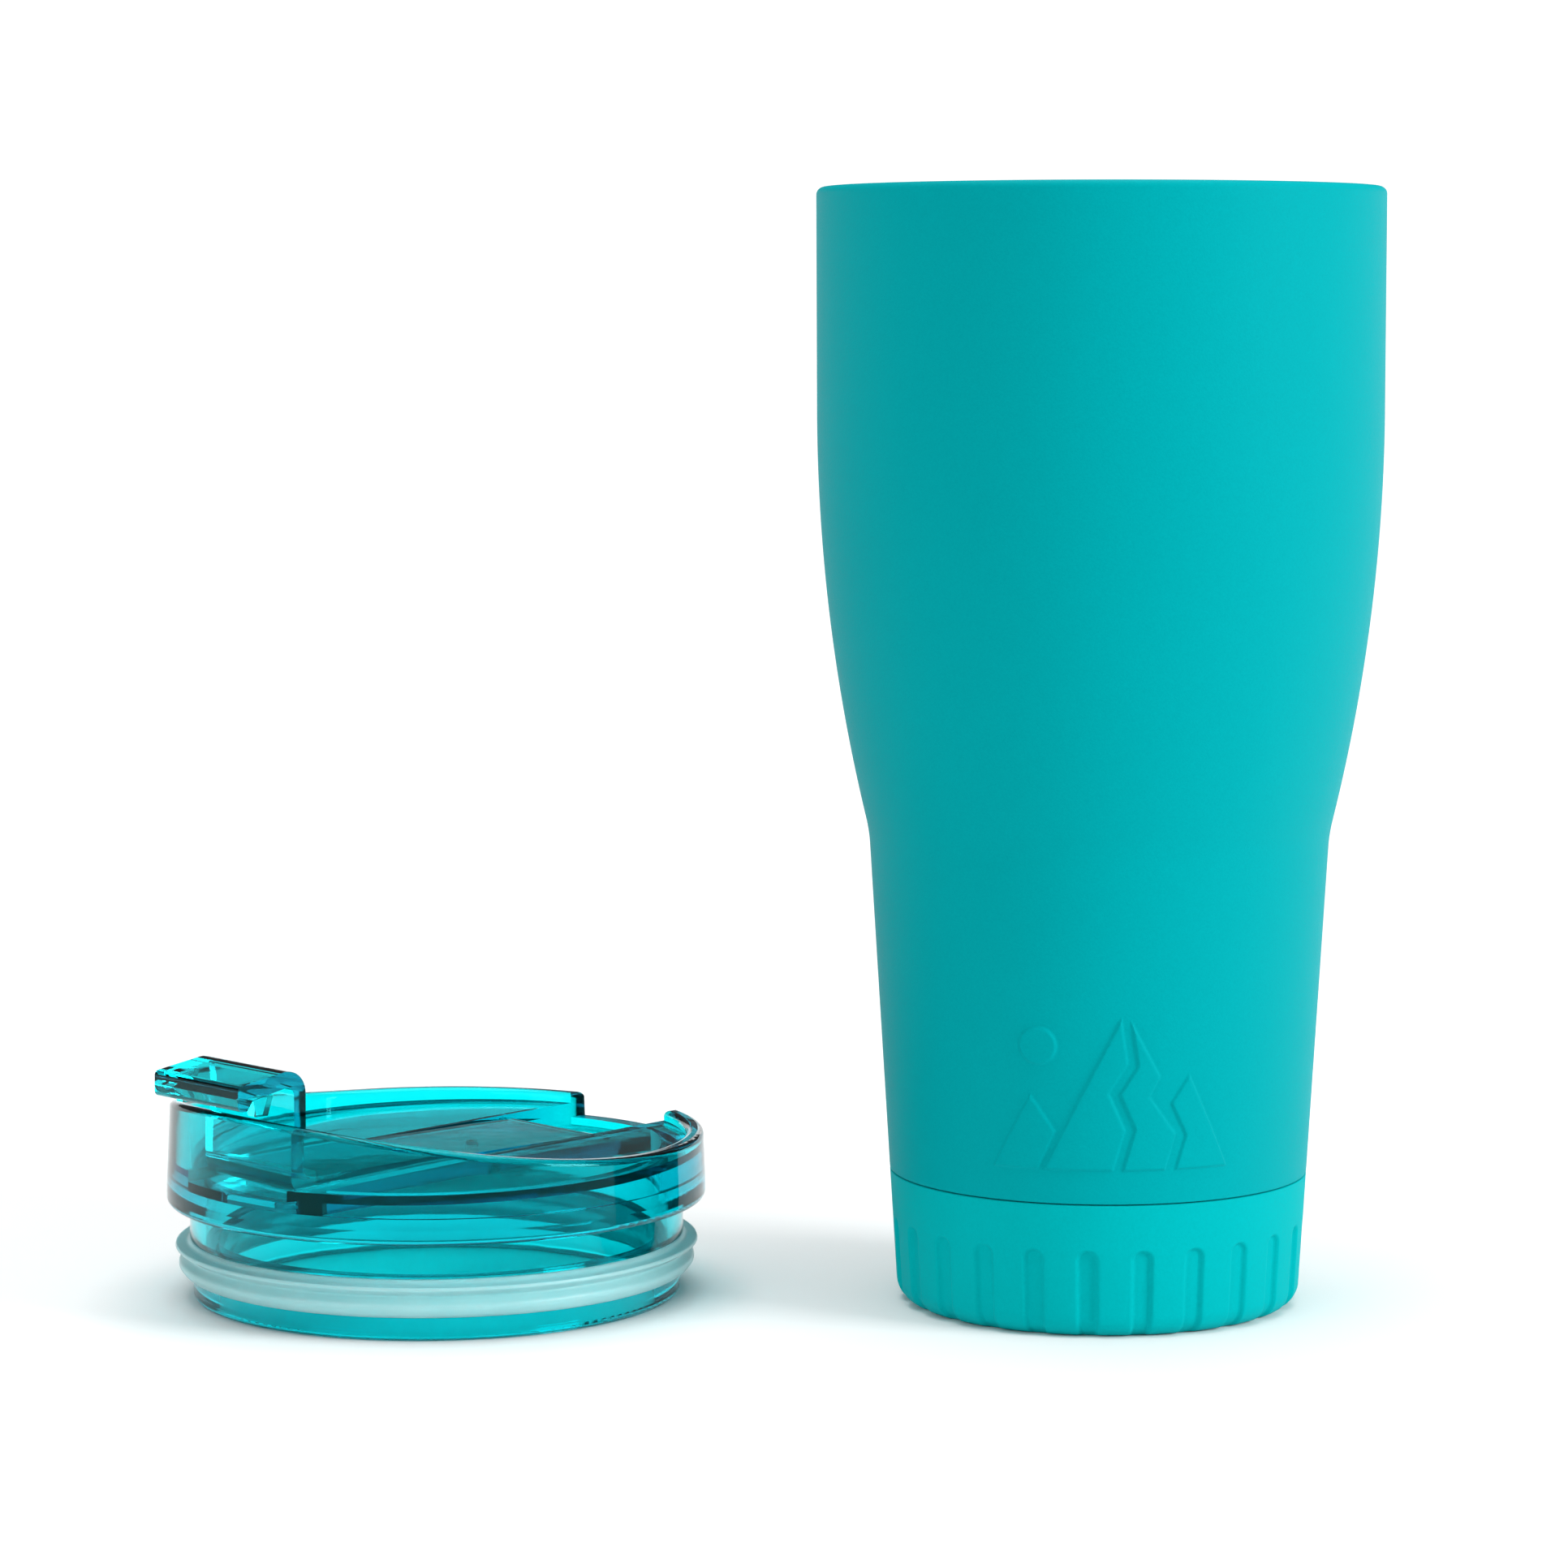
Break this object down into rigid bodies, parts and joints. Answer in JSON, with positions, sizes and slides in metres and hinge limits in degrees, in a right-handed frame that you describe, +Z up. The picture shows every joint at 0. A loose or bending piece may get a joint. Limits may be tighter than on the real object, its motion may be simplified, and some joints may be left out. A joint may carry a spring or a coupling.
{
  "type": "drinking tumbler",
  "caption": "Double-wall insulated drinking tumbler, flared above a narrow foot, with a fluted base boot and a clear flip lid lying beside it.",
  "frame": {"origin": "centre of the boot's underside, on the table", "axes": "+Z up along the cup's axis; the lid stands on the same table towards -X; the low relief faces -Y"},
  "size_m": [0.2174, 0.1048, 0.1984],
  "materials": {
    "powder_coat": "fine matte powder coat",
    "bare_steel": "brushed",
    "seal_glass": "fused bead",
    "getter_alloy": "sintered",
    "foil": "rolled foil",
    "boot_silicone": "matte moulded silicone",
    "clear_lid": "clear tinted moulding, gloss",
    "clear_lever": "clear tinted moulding, gloss",
    "gasket_silicone": "translucent silicone, satin"
  },
  "bodies": {
    "cup": {"outer_shell": "powder_coat", "inner_liner": "bare_steel", "outer_base": "bare_steel", "vacuum_seal": "seal_glass", "base_cover": "bare_steel", "getter": "getter_alloy", "getter_clip": "bare_steel", "radiation_foil": "foil", "base_boot": "boot_silicone"},
    "lid": {"lid_body": "clear_lid", "lid_plug": "clear_lid", "lid_gasket": "gasket_silicone"},
    "lever": {"flip_lever": "clear_lever", "slot_seal": "gasket_silicone", "vent_seal": "gasket_silicone"}
  },
  "joints": [
    {"name": "lid_lift", "type": "slide", "parent": "cup", "child": "lid", "axis": [0, 0, 1], "range_m": [0, 0.21]},
    {"name": "lever_flip", "type": "hinge", "parent": "lid", "child": "lever", "pos_m": [-0.09885, 0.02441, 0.0253], "axis": [-0.682, 0.7314, 0], "range_deg": [0, 170]}
  ]
}
